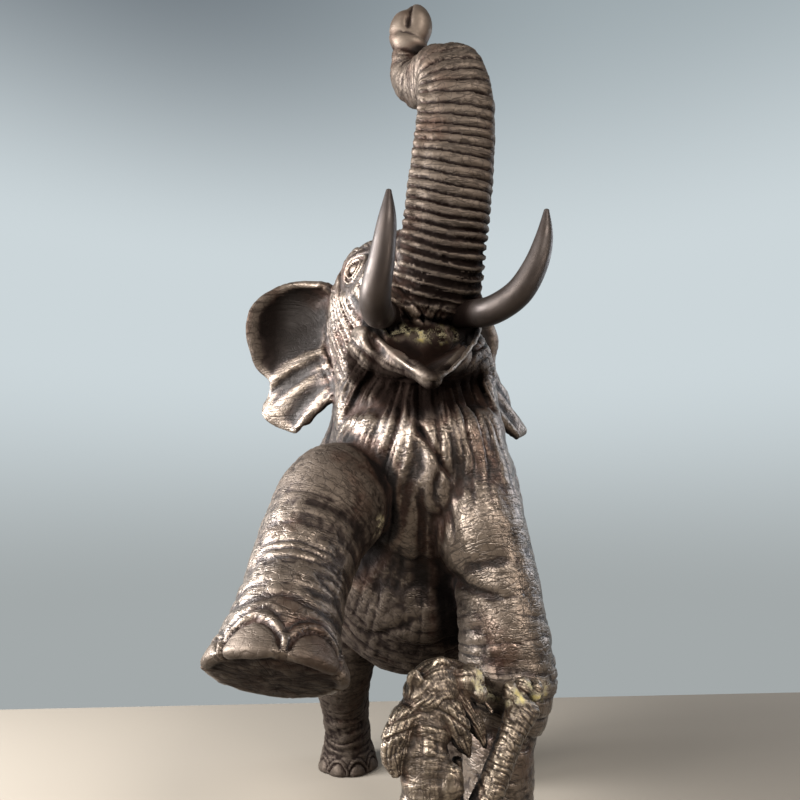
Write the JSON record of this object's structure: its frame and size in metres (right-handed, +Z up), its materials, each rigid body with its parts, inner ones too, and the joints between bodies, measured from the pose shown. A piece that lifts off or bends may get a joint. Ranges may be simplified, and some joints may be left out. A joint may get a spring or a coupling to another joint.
{
  "type": "bronze elephant sculpture",
  "caption": "Patinated cast bronze elephant with raised trunk and raised foreleg, trumpeting while a small tiger claws at its standing foreleg.",
  "frame": {"origin": "on the ground plane under the middle of the group's bounding box", "axes": "+Z up, -Y the way the elephant faces, +X its left side"},
  "size_m": [0.2612, 0.5259, 0.7223],
  "materials": {
    "patinated_bronze": "dark brown chemical patina, waxed, rubbed warmer on the high spots",
    "polished_tusk": "smooth rubbed brown bronze",
    "tiger_bronze": "brown bronze patina with yellow and green traces at the brazed joints"
  },
  "bodies": {
    "root": {"elephant": "patinated_bronze", "tusk_right": "polished_tusk", "tusk_left": "polished_tusk", "tiger": "tiger_bronze"}
  },
  "joints": []
}
